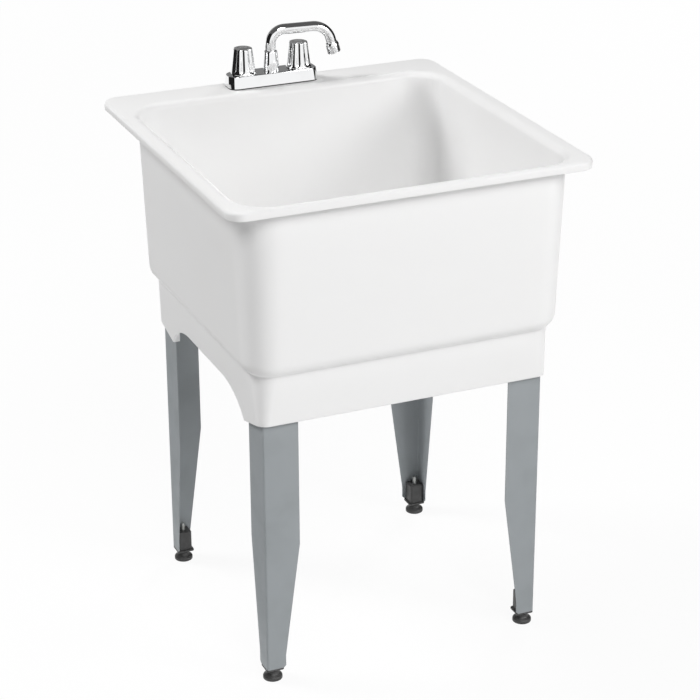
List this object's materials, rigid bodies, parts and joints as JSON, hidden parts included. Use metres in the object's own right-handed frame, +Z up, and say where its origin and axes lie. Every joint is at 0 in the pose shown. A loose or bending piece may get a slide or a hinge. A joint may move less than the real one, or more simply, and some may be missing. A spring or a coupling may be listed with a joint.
{
  "type": "utility laundry sink",
  "caption": "Freestanding utility laundry sink: moulded white tub with leg skirt on tapered steel angle legs with levelling feet, and a chrome two-handle faucet with a swing spout.",
  "frame": {"origin": "on the floor, under the middle of the rim", "axes": "+X to the right of a user who faces the faucet, +Y to the back, where the faucet stands, +Z up"},
  "size_m": [0.61, 0.624, 0.9368],
  "materials": {
    "tub_plastic": "smooth moulded white thermoplastic, satin to gloss",
    "leg_steel": "grey coated steel, satin",
    "black_plastic": "moulded black plastic, matte",
    "zinc": "zinc-plated steel",
    "chrome": "polished chrome plate",
    "brass": "machined brass",
    "rubber": "black rubber",
    "white_fitting": "moulded white plumbing plastic"
  },
  "bodies": {
    "root": {"tub": "tub_plastic", "leg_front_left": "leg_steel", "leg_front_right": "leg_steel", "leg_back_left": "leg_steel", "leg_back_right": "leg_steel", "toe_insert_front_left": "black_plastic", "toe_insert_front_right": "black_plastic", "toe_insert_back_left": "black_plastic", "toe_insert_back_right": "black_plastic", "faucet_cover": "chrome", "faucet_waterway": "brass", "faucet_gasket": "rubber", "cartridge_left": "brass", "cartridge_right": "brass", "bonnet_nut_left": "brass", "bonnet_nut_right": "brass", "shank_washer_left": "zinc", "shank_washer_right": "zinc", "shank_nut_left": "white_fitting", "shank_nut_right": "white_fitting", "spout_nut": "chrome", "spout_seal": "rubber", "drain_body": "white_fitting", "drain_gasket": "rubber", "drain_washer": "white_fitting", "drain_locknut": "white_fitting", "tailpiece": "white_fitting", "tailpiece_washer": "rubber", "tailpiece_nut": "white_fitting"},
    "spout": {"spout_tube": "chrome", "hose_end": "chrome"},
    "left_handle": {"handle_left": "chrome", "valve_stem_left": "brass", "handle_screw_left": "zinc", "index_cap_left": "chrome"},
    "right_handle": {"handle_right": "chrome", "valve_stem_right": "brass", "handle_screw_right": "zinc", "index_cap_right": "chrome"},
    "front_left_foot": {"foot_stud_front_left": "zinc", "foot_pad_front_left": "black_plastic"},
    "front_right_foot": {"foot_stud_front_right": "zinc", "foot_pad_front_right": "black_plastic"},
    "back_left_foot": {"foot_stud_back_left": "zinc", "foot_pad_back_left": "black_plastic"},
    "back_right_foot": {"foot_stud_back_right": "zinc", "foot_pad_back_right": "black_plastic"},
    "plug": {"stopper": "rubber"}
  },
  "joints": [
    {"name": "spout_swivel", "type": "hinge", "parent": "root", "child": "spout", "pos_m": [-0.008, 0.281, 0.858], "axis": [0, 0, 1], "range_deg": [-175, 5]},
    {"name": "left_handle_turn", "type": "hinge", "parent": "root", "child": "left_handle", "pos_m": [-0.0588, 0.281, 0.858], "axis": [0, 0, 1], "range_deg": [0, 90]},
    {"name": "right_handle_turn", "type": "hinge", "parent": "root", "child": "right_handle", "pos_m": [0.0428, 0.281, 0.858], "axis": [0, 0, 1], "range_deg": [-90, 0]},
    {"name": "front_left_foot_travel", "type": "slide", "parent": "root", "child": "front_left_foot", "axis": [0, 0, -1], "range_m": [0, 0.02]},
    {"name": "front_right_foot_travel", "type": "slide", "parent": "root", "child": "front_right_foot", "axis": [0, 0, -1], "range_m": [0, 0.02]},
    {"name": "back_left_foot_travel", "type": "slide", "parent": "root", "child": "back_left_foot", "axis": [0, 0, -1], "range_m": [0, 0.02]},
    {"name": "back_right_foot_travel", "type": "slide", "parent": "root", "child": "back_right_foot", "axis": [0, 0, -1], "range_m": [0, 0.02]},
    {"name": "plug_lift", "type": "slide", "parent": "root", "child": "plug", "axis": [0, 0, 1], "range_m": [0, 0.1]}
  ]
}
